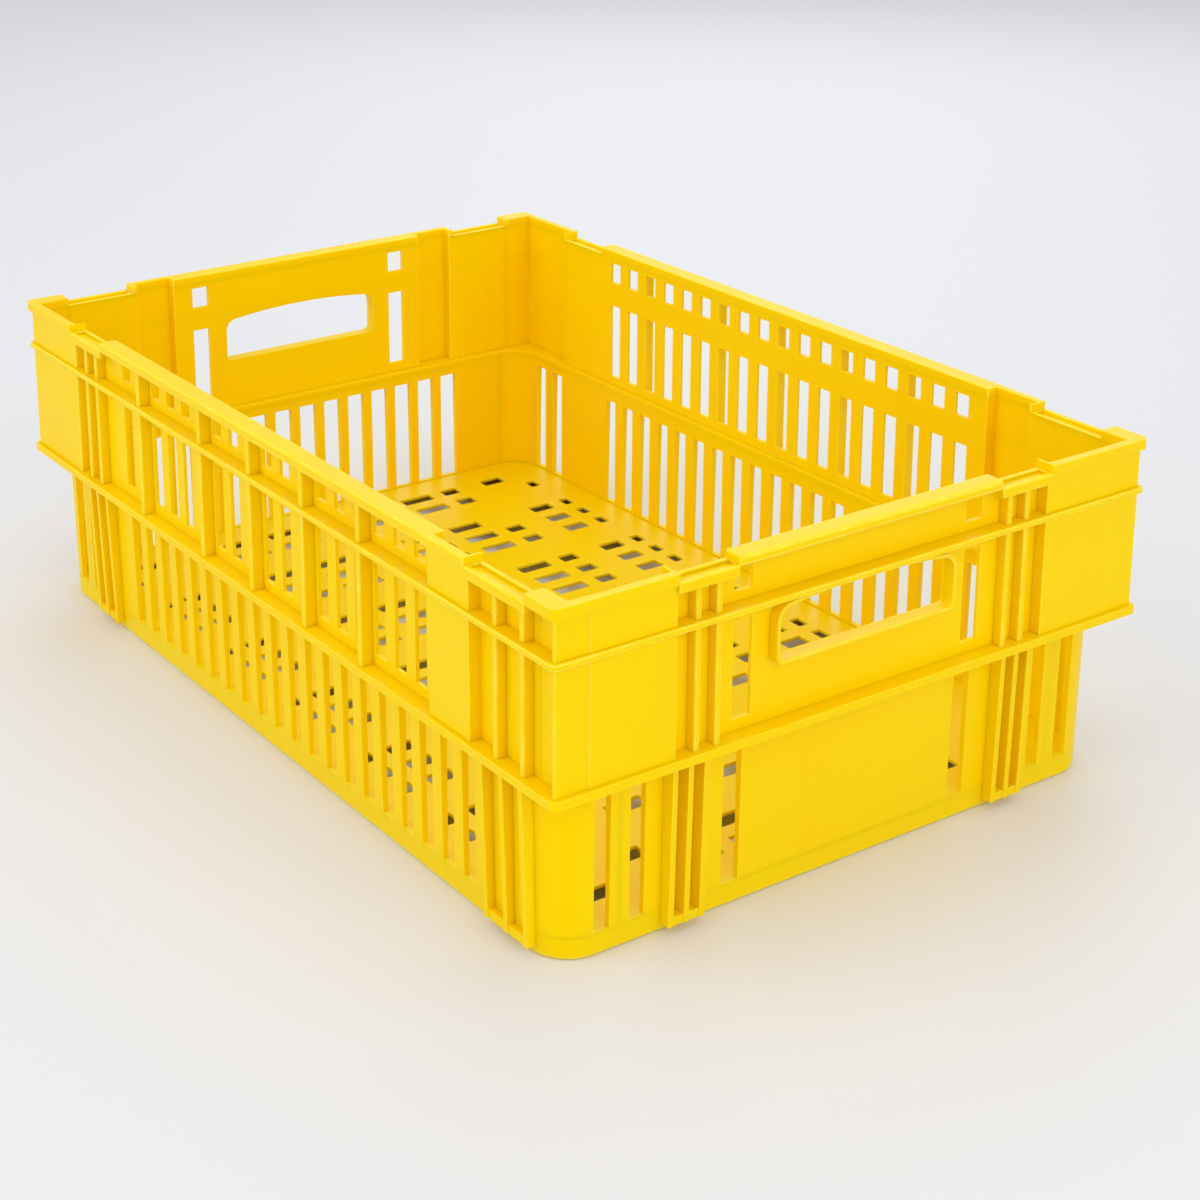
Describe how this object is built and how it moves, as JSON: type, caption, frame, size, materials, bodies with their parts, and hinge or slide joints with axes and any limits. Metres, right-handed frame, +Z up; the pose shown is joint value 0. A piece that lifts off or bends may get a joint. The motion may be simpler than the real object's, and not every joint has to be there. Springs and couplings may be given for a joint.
{
  "type": "stacking ventilated crate",
  "caption": "Rectangular open-topped moulded crate with slotted walls and floor, hollow rim with lowered saddles, ledge flange, foot ribs and a hand hole at each end.",
  "frame": {"origin": "centre of the footprint, on the plane the base stands on", "axes": "+X along the long side towards the end whose saddles lie nearer the middle, +Y along the short side, +Z up out of the open top"},
  "size_m": [0.6, 0.4, 0.2],
  "materials": {
    "crate_plastic": "satin moulded polyethylene, yellow"
  },
  "bodies": {
    "root": {"floor_grid": "crate_plastic", "floor_ribs": "crate_plastic", "base_band": "crate_plastic", "lower_wall_front": "crate_plastic", "lower_wall_back": "crate_plastic", "lower_wall_left": "crate_plastic", "lower_wall_right": "crate_plastic", "lower_corner_front_left": "crate_plastic", "lower_corner_back_left": "crate_plastic", "lower_corner_front_right": "crate_plastic", "lower_corner_back_right": "crate_plastic", "feet_front": "crate_plastic", "feet_back": "crate_plastic", "feet_left": "crate_plastic", "feet_right": "crate_plastic", "mid_flange": "crate_plastic", "upper_wall_front": "crate_plastic", "upper_wall_back": "crate_plastic", "upper_wall_left": "crate_plastic", "upper_wall_right": "crate_plastic", "upper_corner_front_left": "crate_plastic", "upper_corner_back_left": "crate_plastic", "upper_corner_front_right": "crate_plastic", "upper_corner_back_right": "crate_plastic", "hand_collar_left": "crate_plastic", "hand_collar_right": "crate_plastic", "wall_ribs_front": "crate_plastic", "wall_ribs_back": "crate_plastic", "wall_ribs_left": "crate_plastic", "wall_ribs_right": "crate_plastic", "belt_rib": "crate_plastic", "rim_front": "crate_plastic", "rim_back": "crate_plastic", "rim_left": "crate_plastic", "rim_right": "crate_plastic", "rim_corner_front_left": "crate_plastic", "rim_corner_back_left": "crate_plastic", "rim_corner_front_right": "crate_plastic", "rim_corner_back_right": "crate_plastic", "saddles_front": "crate_plastic", "saddles_back": "crate_plastic", "saddles_left": "crate_plastic", "saddles_right": "crate_plastic"}
  },
  "joints": []
}
